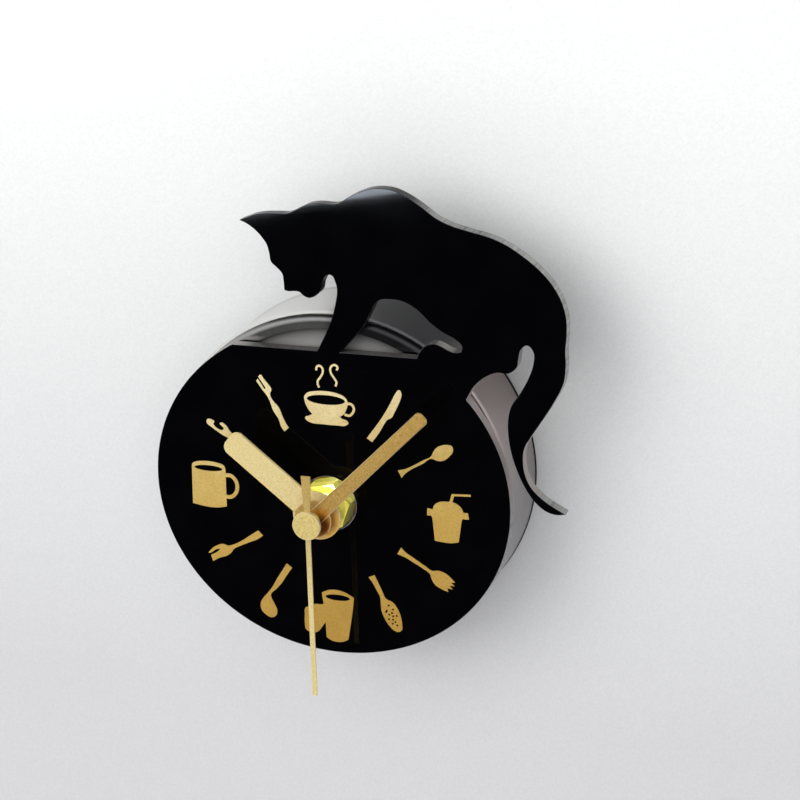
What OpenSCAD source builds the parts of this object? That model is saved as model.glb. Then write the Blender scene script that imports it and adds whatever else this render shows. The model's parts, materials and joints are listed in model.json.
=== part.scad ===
// Cat and fishbowl magnet clock: a black acrylic panel on a round tin with a quartz movement inside.
// Each node is drawn facing the reader (x right, y up, z out of the dial) and stood upright at the end.

/* [Panel] */
// half width of the fishbowl outline
bowl_half_w = 45; // [40:0.5:50]
// half height of the fishbowl outline before the flat top
bowl_half_h = 41.7; // [38:0.1:48]
// height of the bowl's flat top above its centre
bowl_top = 35.7; // [30:0.1:38]
// thickness of the acrylic sheet
panel_t = 3; // [2:0.5:5]
// front of the panel, in front of the magnet face
panel_front = 26.6; // [22:0.1:32]
// thickness of the gold dial print
print_t = 0.15; // [0.1:0.05:0.3]

/* [Tin] */
// outside radius of the tin's wall
tin_r = 44; // [40:0.1:50]
// thickness of the tin's sheet metal
tin_sheet = 0.5; // [0.3:0.05:1]
// front rim of the tin, in front of the magnet face
tin_front = 22.9; // [18:0.1:26]
// radius of the tin's rounded front edge
tin_round = 2.2; // [1:0.1:4]
// depth of the dished front inside the rim
dish_depth = 1; // [0.5:0.1:2]
// radius at which the dish begins
dish_r = 40.6; // [36:0.1:42]
// radius of the rolled hem at the open back
hem_r = 44.2; // [44:0.1:46]
// height of the hem's straight edge
hem_edge = 0.15; // [0.1:0.05:0.3]
// height at which the hem meets the tin's wall
hem_rise = 0.6; // [0.4:0.1:1]
// thickness of the plastic back plate
back_t = 2.2; // [1.5:0.1:4]
// radius of each magnet
magnet_r = 4.5; // [3:0.5:6]
// thickness of each magnet
magnet_t = 1.6; // [1:0.1:2]

/* [Movement] */
// hand shaft, across from the middle of the tin
hub_x = 0.1; // [-2:0.1:2]
// hand shaft, up from the middle of the tin
hub_y = -2.2; // [-4:0.1:2]
// width and height of the movement's case
case_w = 56; // [54:0.5:60]
// radius of the movement case's corners
case_corner = 3; // [1:0.5:5]
// wall thickness of the movement's case
case_wall = 1.2; // [1:0.1:2]
// front of the movement's case
case_front = 21; // [19:0.1:22]
// back of the movement's case
case_back = 5.5; // [4:0.1:7]
// split line between the two halves of the case
case_split = 12; // [9:0.1:15]
// thickness of the case's front and back
case_face = 1.4; // [1:0.1:2]
// radius of the battery
cell_r = 7.15; // [7:0.05:7.25]
// battery axis below the hand shaft
cell_drop = 19.1; // [18:0.1:20]

/* [Shaft] */
// outside radius of the threaded bush
bush_r = 3.9; // [3.5:0.1:5]
// front end of the threaded bush
bush_end = 32; // [30:0.1:34]
// radius of the dial washer
washer_r = 7.0; // [6:0.1:9]
// thickness of the dial washer
washer_t = 0.6; // [0.4:0.1:1]
// width of the hexagonal nut across its flats
nut_flats = 11; // [10:0.5:12]
// thickness of the nut
nut_t = 3.2; // [2:0.1:4]

/* [Hands] */
// clockwise angle of the hour hand from twelve
hour_angle = 308.8; // [0:0.1:360]
// clockwise angle of the minute hand from twelve
minute_angle = 44.9; // [0:0.1:360]
// clockwise angle of the second hand from twelve
second_angle = 180; // [0:0.1:360]
// hour hand, shaft to tip
hour_len = 27.8; // [20:0.1:35]
// width of the hour hand
hour_w = 6.5; // [4:0.1:8]
// minute hand, shaft to tip
minute_len = 39.6; // [30:0.1:45]
// width of the minute hand
minute_w = 3.4; // [2:0.1:5]
// second hand, shaft to tip
second_len = 44.1; // [35:0.1:50]
// width of the second hand
second_w = 1.25; // [0.8:0.05:2]
// second hand, shaft to the end of its tail
tail_len = 12.1; // [8:0.1:15]
// thickness of the hands' sheet
hand_t = 0.4; // [0.3:0.05:0.6]
// back of the hour hand's sheet
hour_at = 35.2; // [34:0.1:37]
// back of the minute hand's sheet
minute_at = 37.8; // [36:0.1:39]
// back of the second hand's sheet
second_at = 41.2; // [39:0.1:43]

/* [Hidden] */
$fn = 96;
slack = 0.05;
hub = [hub_x, hub_y];
panel_back = panel_front - panel_t;
dish_front = tin_front - dish_depth;
dish_back = dish_front - tin_sheet;
washer_front = panel_front + washer_t;
nut_front = washer_front + nut_t;
// depth of the nut's turned corners
nut_corner = 0.8;
room_front = case_front - case_face;
room_back = case_back + case_face;
bay_top = -10.6;

// where the four arbors stand around the hand shaft, and their directions
third_dir = 135;
middle_dir = 60;
rotor_dir = 30;
motion_dir = -20;
knob_dir = 30;
third_gap = 9.18;
middle_gap = 9.36;
rotor_gap = 8.4;
motion_gap = 8.4;
knob_gap = 8.75;
third_at = hub + third_gap * [cos(third_dir), sin(third_dir)];
middle_at = hub + middle_gap * [cos(middle_dir), sin(middle_dir)];
rotor_at = middle_at + rotor_gap * [cos(rotor_dir), sin(rotor_dir)];
motion_at = hub + motion_gap * [cos(motion_dir), sin(motion_dir)];
knob_at = motion_at + knob_gap * [cos(knob_dir), sin(knob_dir)];
motion_phase = mesh(motion_dir, 0, 12, 36);

// which node to draw

// ---- helpers ----

module stand() rotate([90, 0, 0]) children();

// a flat piece between two distances in front of the magnet face
module slab(a, b) translate([0, 0, a]) linear_extrude(b - a) children();

module rod(p, r, a, b) translate([p[0], p[1], a]) cylinder(h = b - a, r = r);

module ring(p, r_out, r_in, a, b)
  difference() {
    rod(p, r_out, a, b);
    rod(p, r_in, a - 1, b + 1);
  }

module rounded(w, h, r)
  union() {
    square([w - 2 * r, h], center = true);
    square([w, h - 2 * r], center = true);
    for (sx = [-1, 1])
      for (sy = [-1, 1])
        translate([sx * (w / 2 - r), sy * (h / 2 - r)]) circle(r = r);
  }

// direction of the outline at b, weighted towards its nearer neighbour
function unit(v) = norm(v) > 0 ? v / norm(v) : [0, 0];
function lean(a, b, c) = unit((b - a) * norm(c - b) / norm(b - a) + (c - b) * norm(b - a) / norm(c - b));
function flat(p) = [p[0], p[1]];
function blend(b, c, tb, tc, s) =
  (2 * pow(s, 3) - 3 * pow(s, 2) + 1) * b + (pow(s, 3) - 2 * pow(s, 2) + s) * tb
  + (3 * pow(s, 2) - 2 * pow(s, 3)) * c + (pow(s, 3) - pow(s, 2)) * tc;

// smooth closed outline through the points; a third value of 1 makes a sharp corner
function curve(p, n) = [
  for (i = [0 : len(p) - 1])
    let (
      k = len(p),
      a = flat(p[(i + k - 1) % k]),
      b = flat(p[i]),
      c = flat(p[(i + 1) % k]),
      d = flat(p[(i + 2) % k]),
      sharp_b = len(p[i]) == 3,
      sharp_c = len(p[(i + 1) % k]) == 3,
      tb = norm(c - b) * (sharp_b ? unit(c - b) : lean(a, b, c)),
      tc = norm(c - b) * (sharp_c ? unit(c - b) : lean(b, c, d)),
      steps = sharp_b && sharp_c ? 1 : n
    )
    for (j = [0 : steps - 1]) blend(b, c, tb, tc, j / steps)
];

// a drawn line of width w through the points
function side(p, i) =
  let (
    a = p[max(i - 1, 0)],
    b = p[min(i + 1, len(p) - 1)],
    v = unit(b - a)
  )
  [-v[1], v[0]];
function line(p, w) = concat(
  [for (i = [0 : len(p) - 1]) p[i] + side(p, i) * w / 2],
  [for (i = [len(p) - 1 : -1 : 0]) p[i] - side(p, i) * w / 2]
);
function open_curve(p, n) = concat(
  [
    for (i = [0 : len(p) - 2])
      let (
        a = p[max(i - 1, 0)],
        b = p[i],
        c = p[i + 1],
        d = p[min(i + 2, len(p) - 1)],
        tb = norm(c - b) * (i == 0 ? unit(c - b) : lean(a, b, c)),
        tc = norm(c - b) * (i == len(p) - 2 ? unit(c - b) : lean(b, c, d))
      )
      for (j = [0 : n - 1]) blend(b, c, tb, tc, j / n)
  ],
  [p[len(p) - 1]]
);

function oval(cx, cy, rx, ry, n) =
  [for (i = [0 : n - 1]) [cx + rx * cos(360 * i / n), cy + ry * sin(360 * i / n)]];

// ---- gears ----

// turn of the second gear that puts its gap on the first gear's tooth, centres in direction th
function mesh(th, ph, z1, z2) = th + 180 - (0.5 - (th - ph) * z1 / 360) * 360 / z2;
function inv(a) = tan(a) * 180 / PI - a;
function tooth_half(z, m, r) =
  let (
    base = z * m / 2 * cos(20),
    a = r > base ? acos(base / r) : 0
  )
  0.4 * 180 / z + inv(20) - inv(a);

module gear(z, m, turn = 0) {
  root = z * m / 2 - 1.05 * m;
  base = max(z * m / 2 * cos(20), root + 0.02);
  tip = z * m / 2 + 0.75 * m;
  radii = [root, base, (base + tip) / 2, tip];
  polygon([
    for (i = [0 : z - 1])
      for (k = [0 : 7])
        let (
          r = radii[k < 4 ? k : 7 - k],
          a = turn + 360 * i / z + (k < 4 ? -1 : 1) * tooth_half(z, m, r)
        )
        r * [cos(a), sin(a)]
  ]);
}

// ---- outlines ----

cat_outline = [
  [-1.6, 35.6, 1], [0.8, 40.3], [2.6, 44.6], [3.5, 48], [3.9, 50.6], [3.5, 52.8], [2.8, 54.1], [2, 54.3],
  [0.3, 52.4], [-0.3, 50.2], [-2, 48.7], [-3.3, 48.4], [-4.5, 48.9], [-5.5, 49.7],
  [-6.7, 49.8], [-8.4, 49.7], [-9.2, 49.9, 1], [-9.3, 52.1], [-9.5, 53.7], [-10.8, 55.2], [-12.2, 56.5],
  [-12.6, 58.7], [-13.1, 60.6], [-14.1, 62.1], [-15.8, 63.9], [-17.8, 65.3], [-19.7, 66.1, 1],
  [-18.4, 66.6], [-16.4, 67.4], [-13.9, 67.9], [-10.6, 68.1], [-7.5, 68.3], [-5.1, 69.4], [-2.6, 70.6],
  [-0.3, 71], [4.9, 71.2], [7.2, 72.6], [10.1, 74.1], [12.9, 75], [15.3, 75.2], [18.1, 74.9],
  [20.9, 73.8], [24.8, 71.5], [28.3, 69], [31.8, 67.5], [35.7, 66.5], [41.1, 65.2], [44.7, 63.7],
  [48.4, 61.4], [52, 58.6], [55.2, 55.1], [57.2, 51.6], [58.3, 47.6], [58.4, 43.9], [58.1, 40.1],
  [58.2, 36.9], [57.8, 32.8], [55.4, 27.6], [52.2, 22.3], [49.8, 18.5], [48.4, 15.8], [48.1, 13],
  [48.6, 9.4], [50.2, 6.2], [52.9, 3.7], [58.2, 0.6, 1],
  [55.9, 0.3], [53.5, 0.9], [51, 2.8], [48.6, 6.1], [46.5, 10.6], [45.3, 14.4], [44.6, 18.8],
  [44.7, 23.5], [45.5, 26.2], [47.4, 29.1], [49.6, 33.3], [50.6, 36.4], [50.6, 39.3], [49.2, 40.7],
  [47.8, 39.7], [47.2, 37.5], [46.8, 35.4], [44.7, 33.7], [42.1, 33.7], [39.4, 32.5], [36.7, 30.1],
  [34.6, 26.5, 1], [26, 20, 1], [2, 20, 1]
];

belly_outline = [
  [4.1, 35.7, 1], [7.8, 39.7], [10.5, 43.2], [11.9, 45.9], [13.1, 48.1], [14.2, 49], [16.6, 49.4],
  [19.4, 49.2], [23.3, 47.3], [26.3, 44.5], [29.1, 42.5], [32.4, 40.8], [33.8, 39.4], [33.7, 38.3],
  [32.4, 37.8], [30.8, 38.1], [29, 39], [27.4, 39.5], [25.6, 39.2], [24.2, 38.1], [23, 35.7, 1]
];

module bowl_shape()
  intersection() {
    polygon(oval(0, 0, bowl_half_w, bowl_half_h, 144));
    translate([-60, -60]) square([120, 60 + bowl_top]);
  }

// ---- dial print ----

module print_twelve() {
  difference() {
    polygon(curve([
      [-5.3, 24.2], [-5.2, 23], [-4.8, 21.8], [-4.1, 20.7], [-3.4, 19.9, 1], [-4.2, 19.5], [-5.3, 18.9],
      [-5, 18.3], [-4, 17.8], [-1, 17.6], [3, 17.6], [4.8, 17.7], [5.6, 18.4], [5.2, 19], [3.9, 19.4],
      [3.5, 19.8, 1], [4.6, 20.6], [5.2, 21.8], [5.6, 23.2], [5.4, 24.2], [4.6, 25], [3, 25.6],
      [0.3, 25.9], [-2.6, 25.7], [-4.6, 25.1]
    ], 4));
    polygon(oval(0.15, 23.75, 4.8, 1.2, 32));
  }
  polygon(line(open_curve([
    [5.3, 23.2], [6.4, 23.2], [7.1, 22.3], [6.8, 21.1], [5.9, 20.3], [4.7, 20.5]
  ], 4), 0.6));
  polygon(line(open_curve([
    [-2, 30.9], [-1.8, 31.8], [-1.2, 32.1], [-0.4, 31.5],
    [-0.4, 30.4], [-1, 29.3], [-1.7, 28.3], [-1.7, 27.3],
    [-1.4, 26.7]
  ], 4), 0.5));
  polygon(line(open_curve([
    [3.1, 31.3], [3.4, 31.9], [3, 32.5], [2.3, 32.5], [1.6, 31.7], [1.7, 30.5], [2.4, 29.4], [3, 28.3],
    [2.7, 27.3]
  ], 4), 0.5));
}

module print_one()
  polygon(curve([
    [18.5, 27.7], [19, 26.8], [18.8, 25.6], [18, 23.7], [17.2, 22.1], [16.4, 20.7], [15.3, 20.1, 1],
    [14.7, 19.2], [13.1, 16.5], [11.4, 14.2, 1], [10.1, 15.1, 1], [12.1, 17.8], [13.8, 20.2], [15.4, 22.8],
    [16.5, 24.8], [17.5, 26.7]
  ], 4));

module print_two()
  polygon(curve([
    [18.5, 5.9, 1], [19.3, 6.9], [20.3, 7.8], [23.9, 10],
    [26.1, 11.4], [26.8, 11.2], [28, 11], [29.3, 11.4],
    [30.5, 12.5], [31.3, 13.8], [31.1, 14.9], [30.2, 15.2], [28.7, 15], [27.2, 14.2], [26.4, 13],
    [25.9, 12], [23.9, 10.8], [21.5, 9.3], [19.4, 8.2], [17.6, 7.7, 1]
  ], 4));

module print_three() {
  polygon(curve([
    [26, -1.3, 1], [26.4, -0.2], [27.6, 0.7], [29.8, 1], [31.9, 0.7], [33.1, -0.3], [33.6, -1.4, 1],
    [34.7, -1.4, 1], [34.9, -3, 1], [33.3, -3, 1],
    [33.1, -3.6, 1], [32.3, -9, 1], [30.7, -9.4], [28.4, -9.4],
    [26.4, -9.2, 1], [25.9, -3.5, 1], [25.6, -2.9, 1], [24.6, -2.9, 1], [24.7, -1.1, 1]
  ], 4));
  polygon(line([[30.4, 0.5], [31.1, 2.9]], 0.7));
  polygon(line([[30.9, 2.8], [35.4, 3.1]], 0.5));
}

module print_four()
  polygon(curve([
    [17.9, -11.9, 1], [18.7, -12.8], [21.3, -14.5],
    [23.9, -16.1], [25.5, -17.1], [27, -16.9], [28.7, -17.3],
    [30.1, -18.3], [31.2, -19.5, 1], [30.2, -19.6, 1], [31.1, -20.5, 1], [29.8, -20.4, 1], [30.6, -21.3, 1],
    [29.2, -21.2, 1], [29.5, -22.1, 1], [27.9, -21.6], [26.1, -20.5], [25.3, -19], [25, -18], [23.5, -16.9],
    [21, -15.5], [18.7, -14.3], [16.9, -13.7, 1]
  ], 4));

module print_five()
  difference() {
    polygon(curve([
      [10.9, -19.9, 1], [9.4, -20.6, 1], [10.4, -22], [11.3, -23.7], [12.2, -25.6], [12.3, -27],
      [12.4, -28.9], [13.2, -31.1], [14.4, -32.9], [15.6, -34], [16.7, -34.2], [17.5, -33.6],
      [17.6, -32], [17.3, -30], [16.5, -28], [15.3, -26.5], [13.7, -25.8], [12.8, -24], [11.9, -22]
    ], 4));
    for (p = [
      [14.3, -27.5], [15.4, -28.4], [15.1, -29.4], [14.4, -29.9], [15.4, -30.2], [16.3, -30],
      [14.3, -31.1], [15.3, -31.1], [15.9, -31.7], [15.2, -32.2], [16.4, -32.5]
    ])
      translate(p) circle(r = 0.27, $fn = 12);
    polygon(line([[13.9, -28.7], [13.5, -29.5]], 0.45));
  }

module print_six()
  difference() {
    polygon(curve([
      [-2.9, -26.1, 1], [-1.3, -25.3], [1.3, -25],
      [3.6, -25.6], [5.4, -26.6, 1], [5.2, -28.4], [3.6, -37.9, 1],
      [2.4, -38.6], [0.7, -38.9], [-1, -38.6], [-2.1, -37.9, 1], [-2.2, -33.9, 1], [-3.1, -35.2],
      [-4.2, -36.6], [-5.2, -37.1], [-6.5, -37.1],
      [-7.5, -36.4], [-7.7, -34.8], [-7.6, -32.6], [-7.3, -30.6],
      [-6.2, -30.2], [-4.8, -29.4], [-3.2, -29.3], [-2.5, -29.1, 1], [-2.7, -27.7]
    ], 4));
    polygon(oval(1.2, -27, 3.15, 0.8, 32));
  }

module print_seven()
  polygon(curve([
    [-11.8, -19.4, 1], [-10.4, -20.4, 1], [-11.8, -22.4], [-13.2, -24.6], [-14.8, -26.5], [-16.4, -28.4],
    [-16.2, -29.3], [-15.5, -30.7], [-14.9, -32.5], [-15.3, -33.8], [-16.6, -34.4], [-18, -33.8],
    [-19.1, -32.6], [-19.2, -30.8], [-18.4, -29.3],
    [-17.3, -28], [-15.8, -26], [-14.5, -23.7], [-12.9, -21.2]
  ], 4));

module print_eight()
  polygon(curve([
    [-18.9, -11.5, 1], [-17.7, -12.7, 1], [-19.1, -13.8], [-21.2, -14.8], [-23.7, -16], [-25.6, -17.1],
    [-26.6, -18.4], [-27.7, -19.2], [-29.4, -19.8], [-31.4, -21, 1], [-31.9, -19.4, 1], [-31.2, -19],
    [-30.2, -18.4], [-29.2, -17.4, 1], [-30.3, -17.7], [-31.2, -18.3], [-31.8, -18.8, 1],
    [-32.6, -18.9, 1], [-31.5, -17.6], [-30.2, -16.7], [-28.5, -16.1], [-27.2, -16.4], [-25.8, -16],
    [-23.7, -14.9], [-21.2, -13.1]
  ], 4));

module print_nine() {
  difference() {
    polygon(curve([
      [-35.6, 3.4, 1], [-35.4, 4.5], [-34.5, 5], [-32.8, 5.3], [-30.9, 5.4], [-29, 5.2], [-27.6, 4.9],
      [-26.9, 4.4], [-26.7, 3.4, 1], [-26.9, -6, 1], [-29.1, -6.5], [-31.2, -6.6], [-33.4, -6.4],
      [-35.9, -6, 1]
    ], 4));
    polygon(oval(-31.2, 3.6, 3.7, 0.75, 32));
  }
  polygon(line(open_curve([
    [-27, 2.1], [-25.5, 2.2], [-24.2, 1.1], [-23.8, -0.6], [-24.4, -2.4], [-25.7, -3.4], [-27, -3.4]
  ], 4), 0.95));
}

module print_ten()
  polygon(curve([
    [-30.8, 16.2], [-29.6, 16.3], [-28.9, 15.8], [-29.2, 15.2], [-28.7, 14.5], [-27.8, 13.9],
    [-26.9, 13.8], [-26.5, 14.3], [-27.1, 14.9], [-27.5, 15.5], [-26.9, 15.7], [-25.9, 15.1],
    [-25.1, 13.9], [-24.3, 13], [-17.4, 8.8, 1], [-18, 7.6, 1], [-25.2, 11.8], [-26.4, 12.3],
    [-28, 13.2], [-29.6, 14.3], [-30.9, 15.4]
  ], 4));

module print_eleven()
  difference() {
    polygon(curve([
      [-16.3, 28.7], [-15.4, 27.7], [-14.3, 26.4], [-13.6, 25.3], [-14, 24], [-13, 22], [-12.1, 21.1],
      [-11, 18.5], [-10.3, 17], [-9.6, 15.9, 1], [-10.7, 14.9, 1], [-11.3, 15.6], [-12.1, 17.9],
      [-13.4, 20], [-14.2, 22.4], [-14.9, 23.7], [-15.8, 24.8], [-16.7, 26.1], [-17.4, 27.1, 1],
      [-17.1, 27.5], [-16.7, 28.3, 1]
    ], 4));
    polygon(line([[-17.3, 28.5], [-15.2, 25.3]], 0.42));
  }

// ---- sub-parts ----

module front_panel()
  color([0.02, 0.02, 0.025])
    stand()
      difference() {
        union() {
          slab(panel_back, panel_front) bowl_shape();
          slab(panel_back, panel_front) polygon(curve(cat_outline, 4));
        }
        slab(panel_back - 1, panel_front + 1) polygon(curve(belly_outline, 4));
        rod(hub, bush_r + 0.3, panel_back - 1, panel_front + 1);
      }

module dial_print()
  color([0.85, 0.72, 0.42])
    stand()
      slab(panel_front, panel_front + print_t) {
        print_one();
        print_two();
        print_three();
        print_four();
        print_five();
        print_six();
        print_seven();
        print_eight();
        print_nine();
        print_ten();
        print_eleven();
        print_twelve();
      }

// foam ring that fills the dish between the tin and the panel
module mounting_pad()
  color([0.06, 0.06, 0.06])
    stand()
      ring([0, 0], 33, 13, dish_front, panel_back);

// closed front with a rounded rim and a shallow dish, straight wall, rolled hem at the back
module tin_outer()
  union() {
    square([tin_r - tin_round, tin_front]);
    square([tin_r, tin_front - tin_round]);
    translate([tin_r - tin_round, tin_front - tin_round]) circle(r = tin_round);
  }

module tin_inner()
  union() {
    translate([0, -1]) square([tin_r - tin_round, 1 + tin_front - tin_sheet]);
    translate([0, -1]) square([tin_r - tin_sheet, 1 + tin_front - tin_round]);
    translate([tin_r - tin_round, tin_front - tin_round]) circle(r = tin_round - tin_sheet);
  }

module tin_case()
  color([0.62, 0.6, 0.6])
    stand()
      difference() {
        rotate_extrude($fn = 128)
          intersection() {
            difference() {
              union() {
                difference() {
                  tin_outer();
                  tin_inner();
                }
                translate([0, dish_back]) square([dish_r, tin_front - dish_back]);
                polygon([
                  [tin_r - tin_sheet, 0], [hem_r, 0], [hem_r, hem_edge], [tin_r, hem_rise],
                  [tin_r - tin_sheet, hem_rise]
                ]);
              }
              translate([-1, dish_front]) square([dish_r + 1 - tin_sheet, 5]);
            }
            square([60, 60]);
          }
        rod(hub, bush_r + 0.3, 15, 30);
      }

module back_plate()
  color([0.05, 0.05, 0.055])
    stand()
      difference() {
        union() {
          rod([0, 0], tin_r - tin_sheet - 0.1, 0, back_t);
          ring([0, 0], tin_r - tin_sheet - 0.1, tin_r - tin_sheet - 1.5, 0, 5);
        }
        translate([hub_x, hub_y - cell_drop, -1]) linear_extrude(10) rounded(54, 16, 2);
        rod(knob_at, 6, -1, 10);
        for (p = magnet_places) rod(p, magnet_r + 0.02, -1, magnet_t);
      }

magnet_places = [[0, 35], [-34, 10], [34, 10], [0, -36.2]];

module magnets()
  color([0.72, 0.72, 0.74])
    stand()
      for (p = magnet_places) rod(p, magnet_r, 0, magnet_t);

module case_shape(inset)
  translate(hub) rounded(case_w - 2 * inset, case_w - 2 * inset, case_corner - inset * 0.6);

// the room for the wheels, above the battery bay
module wheel_room()
  translate(hub)
    difference() {
      rounded(case_w - 2 * case_wall, case_w - 2 * case_wall, case_corner - case_wall * 0.6);
      translate([-40, -40]) square([80, 40 + bay_top]);
    }

module bay_room()
  translate(hub + [0, -cell_drop]) rounded(case_w - 2 * case_wall, 15.4, 1);

// pivot holes in the case for the wheels' arbors
module pivots(a, b)
  for (p = [third_at, middle_at, rotor_at]) rod(p, 0.4, a, b);

screw_places = [[-25, 25], [25, 25], [-25, -8], [25, -8]];

module movement_front()
  color([0.1, 0.1, 0.11])
    stand() {
      difference() {
        slab(case_split, case_front) case_shape(0);
        slab(case_split - 1, room_front) wheel_room();
        slab(case_split - 1, room_front + 0.6) bay_room();
        rod(hub, bush_r + 0.02, 10, 30);
        pivots(room_front - 1, case_front - 0.3);
      }
      rod(motion_at, 0.8, 15.8, room_front + 0.1);
      difference() {
        for (p = screw_places) rod(hub + p, 2, case_split, room_front + 0.1);
        for (p = screw_places) rod(hub + p, 0.9, case_split - 1, case_split + 5);
      }
    }

module movement_back()
  color([0.12, 0.12, 0.13])
    stand()
      difference() {
        union() {
          difference() {
            slab(case_back, case_split) case_shape(0);
            slab(room_back, case_split + 1) wheel_room();
          }
          for (p = screw_places) rod(hub + p, 2, room_back - 0.1, case_split);
        }
        slab(0, case_split + 1) bay_room();
        pivots(room_back - 1, room_back + 1);
        rod(hub, 0.6, room_back - 1, room_back + 1);
        rod(knob_at, 1.3, 0, 10);
        for (p = screw_places) {
          rod(hub + p, 1.05, 0, 20);
          rod(hub + p, 1.9, 0, case_back + 1);
        }
      }

module case_screws()
  color([0.7, 0.7, 0.72])
    stand()
      for (p = screw_places)
        difference() {
          union() {
            rod(hub + p, 1.75, case_back - 0.1, case_back + 0.95);
            rod(hub + p, 0.85, case_back + 0.9, case_split + 4.5);
          }
          for (t = [0, 90])
            translate([hub_x + p[0], hub_y + p[1], case_back - 0.2])
              rotate([0, 0, t]) translate([-1.1, -0.2, 0]) cube([2.2, 0.4, 0.7]);
        }

module case_gasket()
  color([0.04, 0.04, 0.04])
    stand()
      ring(hub, 9, bush_r + 0.1, case_front, dish_back);

module shaft_bush()
  color([0.8, 0.65, 0.25])
    stand()
      difference() {
        union() {
          rod(hub, bush_r, 19.8, bush_end - 0.4);
          translate([hub_x, hub_y, bush_end - 0.4]) cylinder(h = 0.4, r1 = bush_r, r2 = bush_r - 0.4);
        }
        rod(hub, 2.6, 15, 40);
      }

module dial_washer()
  color([0.75, 0.75, 0.76])
    stand()
      ring(hub, washer_r, bush_r + 0.15, panel_front, washer_front);

// hexagonal nut with its front corners turned off
module hex_nut()
  color([0.85, 0.72, 0.2])
    stand()
      translate([hub_x, hub_y, washer_front])
        difference() {
          intersection() {
            rotate([0, 0, 11]) cylinder(h = nut_t, r = nut_flats / 2 / cos(30), $fn = 6);
            union() {
              cylinder(h = nut_t - nut_corner, r = nut_flats);
              translate([0, 0, nut_t - nut_corner])
                cylinder(h = nut_corner, r1 = nut_flats / 2 + 1, r2 = nut_flats / 2 - 0.3);
            }
          }
          translate([0, 0, -1]) cylinder(h = nut_t + 2, r = bush_r + 0.03);
        }

// a straight hand with rounded corners at its tip
module blade(from, to, w, r)
  union() {
    translate([-w / 2, from]) square([w, to - from - r]);
    translate([-w / 2 + r, to - r - 0.1]) square([w - 2 * r, r + 0.1]);
    for (s = [-1, 1]) translate([s * (w / 2 - r), to - r]) circle(r = r, $fn = 48);
  }

module hour_hand()
  color([0.86, 0.78, 0.5])
    stand()
      translate([hub_x, hub_y, 0])
        difference() {
          union() {
            rotate([0, 0, -hour_angle]) slab(hour_at, hour_at + hand_t) blade(0, hour_len, hour_w, 2.1);
            rod([0, 0], 6, hour_at, hour_at + hand_t);
            rod([0, 0], 3.4, hour_at - 1.8, hour_at + 0.1);
          }
          rod([0, 0], 2.57, 30, 40);
        }

module minute_hand()
  color([0.8, 0.66, 0.38])
    stand()
      translate([hub_x, hub_y, 0])
        difference() {
          union() {
            rotate([0, 0, -minute_angle])
              slab(minute_at, minute_at + hand_t) blade(0, minute_len, minute_w, 1.2);
            rod([0, 0], 4.6, minute_at, minute_at + hand_t);
            rod([0, 0], 2.7, minute_at - 1.2, minute_at + 0.1);
          }
          rod([0, 0], 1.77, 30, 45);
        }

module second_hand()
  color([0.84, 0.74, 0.46])
    stand()
      translate([hub_x, hub_y, 0])
        difference() {
          union() {
            rotate([0, 0, -second_angle])
              slab(second_at, second_at + hand_t)
                polygon([
                  [-second_w / 2, second_len], [second_w / 2, second_len], [second_w / 2, 0],
                  [1.15, -tail_len], [-1.15, -tail_len], [-second_w / 2, 0]
                ]);
            rod([0, 0], 2.4, second_at, second_at + hand_t);
            rod([0, 0], 1.1, second_at - 2.2, second_at + 0.1);
          }
          rod([0, 0], 0.57, 30, second_at + 0.2);
        }

module second_cap()
  color([0.86, 0.78, 0.5])
    stand()
      translate([hub_x, hub_y, second_at + hand_t])
        rotate_extrude()
          union() {
            square([3.45, 0.7]);
            square([3.2, 0.95]);
            translate([3.2, 0.7]) circle(r = 0.25, $fn = 32);
          }

module hour_wheel()
  color([0.92, 0.9, 0.84])
    stand()
      translate([hub_x, hub_y, 0])
        difference() {
          union() {
            slab(18.1, 19.3) gear(40, 0.336);
            rod([0, 0], 2.55, 18.1, hour_at + 0.5);
          }
          rod([0, 0], 1.8, 10, 40);
        }

module minute_pipe()
  color([0.8, 0.65, 0.25])
    stand()
      translate([hub_x, hub_y, 0])
        difference() {
          union() {
            slab(16.2, 17.8) gear(12, 0.35);
            rod([0, 0], 1.3, 14.3, 16.3);
            rod([0, 0], 1.75, 17.7, minute_at + 0.5);
          }
          rod([0, 0], 0.6, 10, 45);
        }

module seconds_wheel()
  color([0.9, 0.88, 0.8])
    stand()
      translate([hub_x, hub_y, 0]) {
        slab(11.2, 12.1) gear(60, 0.26);
        slab(12.1, 14.1) gear(8, 0.27);
        rod([0, 0], 0.55, room_back - 0.9, second_at + 0.15);
        rod([0, 0], 1.3, 10.4, 11.3);
      }

module centre_wheel()
  color([0.92, 0.9, 0.84])
    stand()
      translate([hub_x, hub_y, 0])
        slab(14.7, 15.6)
          difference() {
            gear(64, 0.255);
            circle(r = 1.35);
            for (a = [60 : 120 : 300]) rotate(a) translate([4.6, 0]) circle(r = 1.6, $fn = 32);
          }

module arbor(front, back) {
  rod([0, 0], 0.35, back - 0.8, front + 0.8);
  rod([0, 0], 0.7, back + 0.1, front - 0.1);
}

module third_wheel()
  color([0.9, 0.88, 0.8])
    stand()
      translate([third_at[0], third_at[1], 0]) {
        slab(13.2, 14) gear(60, 0.27, mesh(third_dir, 0, 8, 60));
        slab(13.9, 15.9) gear(8, 0.255, mesh(third_dir, 0, 64, 8));
        arbor(room_front, room_back);
      }

module middle_wheel()
  color([0.92, 0.9, 0.84])
    stand()
      translate([middle_at[0], middle_at[1], 0]) {
        slab(9.6, 10.4) gear(60, 0.24, 0);
        slab(10.3, 12.4) gear(12, 0.26, mesh(middle_dir, 0, 60, 12));
        arbor(room_front, room_back);
      }

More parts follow.
